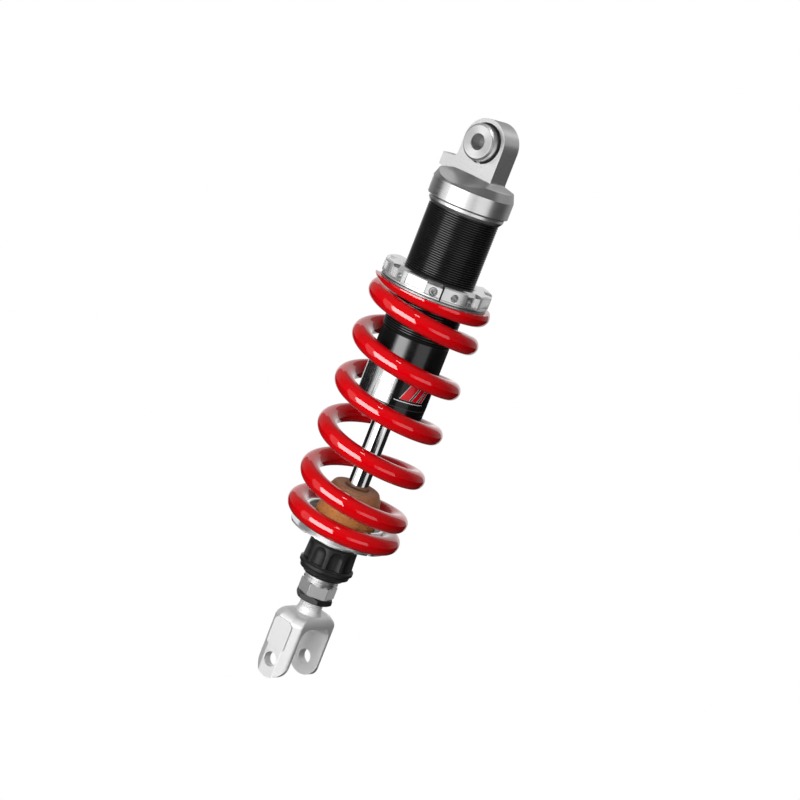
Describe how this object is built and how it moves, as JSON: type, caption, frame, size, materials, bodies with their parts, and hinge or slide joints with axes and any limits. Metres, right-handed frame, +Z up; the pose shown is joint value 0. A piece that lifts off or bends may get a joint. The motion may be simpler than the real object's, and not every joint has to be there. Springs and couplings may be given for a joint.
{
  "type": "motorcycle rear shock absorber",
  "caption": "Rear shock absorber: gas damper inside a red coil spring, with a bearing eye at the top, a preload ring, a bump stop, a rebound knob and a fork clevis at the bottom.",
  "frame": {"origin": "centre of the upper bolt's bore, in the middle of the eye", "axes": "+Z up along the damper's axis, from the clevis to the eye; both bolts lie along Y; +X is the side away from the gas valve"},
  "size_m": [0.081, 0.081, 0.3976],
  "materials": {
    "machined_alloy": "turned and milled, satin",
    "blasted_alloy": "bead blasted, with milled flats",
    "bearing_steel": "ground",
    "black_steel": "black oxide",
    "rod_chrome": "hard chrome, ground and polished",
    "valve_brass": "turned",
    "bush_bronze": "coated bush",
    "black_anodised": "black anodised, with a fine thread",
    "red_powder_coat": "gloss",
    "label_film": "printed film, silver and black with a red stripe",
    "black_plastic": "moulded, fine grained",
    "black_rubber": "matte",
    "seal_brown": "matte",
    "bump_foam": "cellular polyurethane, tan"
  },
  "bodies": {
    "upper_pivot": {"bearing_ball": "bearing_steel", "collar_front": "machined_alloy", "collar_rear": "machined_alloy"},
    "eye_shields": {"bearing_shields": "black_rubber"},
    "casing": {"top_mount": "machined_alloy", "bearing_race": "bearing_steel", "bearing_clips": "black_steel", "gas_valve": "valve_brass", "valve_plug": "black_steel", "cap_seal": "black_rubber", "damper_body": "black_anodised", "body_label": "label_film", "seal_head": "machined_alloy", "head_clip": "black_steel", "head_seal": "black_rubber", "rod_bush": "bush_bronze", "rod_seal": "seal_brown", "rod_wiper": "black_rubber", "coil_spring": "red_powder_coat"},
    "floating_piston": {"gas_piston": "machined_alloy", "gas_piston_seal": "black_rubber"},
    "spring_seat": {"spring_seat_top": "machined_alloy", "thrust_cage": "bearing_steel", "thrust_washer": "bearing_steel"},
    "adjuster_ring": {"preload_ring": "machined_alloy", "ring_screw": "bearing_steel"},
    "rod": {"damper_rod": "rod_chrome", "main_piston": "machined_alloy", "piston_band": "seal_brown", "compression_shims": "bearing_steel", "rebound_shims": "bearing_steel", "piston_nut": "black_steel", "top_out_bumper": "black_rubber", "bump_stop": "bump_foam", "bump_washer": "machined_alloy", "spring_seat_lower": "machined_alloy", "seat_hub": "machined_alloy", "rod_end": "machined_alloy", "detent_balls": "bearing_steel", "jam_nut": "black_steel"},
    "knob": {"rebound_knob": "black_plastic"},
    "needle": {"rebound_needle": "bearing_steel", "cross_pin": "bearing_steel"},
    "lower_fork": {"clevis": "blasted_alloy"}
  },
  "joints": [
    {"name": "eye_swing", "type": "hinge", "parent": "upper_pivot", "child": "eye_shields", "pos_m": [0, 0, 0], "axis": [0, 1, 0], "range_deg": [-20, 20]},
    {"name": "eye_tilt", "type": "hinge", "parent": "eye_shields", "child": "casing", "pos_m": [0, 0, 0], "axis": [1, 0, 0], "range_deg": [-4, 4]},
    {"name": "stroke", "type": "slide", "parent": "casing", "child": "rod", "axis": [0, 0, 1], "range_m": [0, 0.05], "stiffness_N_per_m": 90000, "springref_m": -0.004, "deforming": ["coil_spring"]},
    {"name": "gas_piston_slide", "type": "slide", "parent": "casing", "child": "floating_piston", "axis": [0, 0, 1], "range_m": [0, 0.0065]},
    {"name": "preload_travel", "type": "slide", "parent": "casing", "child": "spring_seat", "axis": [0, 0, 1], "range_m": [-0.0044, 0.0044], "deforming": ["coil_spring"]},
    {"name": "preload_turn", "type": "hinge", "parent": "spring_seat", "child": "adjuster_ring", "pos_m": [0, 0, -0.0953], "axis": [0, 0, 1], "range_deg": [-1080, 1080]},
    {"name": "rebound_turn", "type": "hinge", "parent": "rod", "child": "knob", "pos_m": [0, 0, -0.2946], "axis": [0, 0, 1], "range_deg": [-540, 540]},
    {"name": "needle_slide", "type": "slide", "parent": "rod", "child": "needle", "axis": [0, 0, 1], "range_m": [-0.00104, 0.00104]},
    {"name": "length_adjust", "type": "slide", "parent": "rod", "child": "lower_fork", "axis": [0, 0, -1], "range_m": [0, 0.01]}
  ],
  "couplings": [
    {"joint": "gas_piston_slide", "follows": "stroke", "ratio": 0.1225},
    {"joint": "preload_turn", "follows": "preload_travel", "rad_per_m": 4188.8},
    {"joint": "rebound_turn", "follows": "needle_slide", "rad_per_m": 8976}
  ]
}
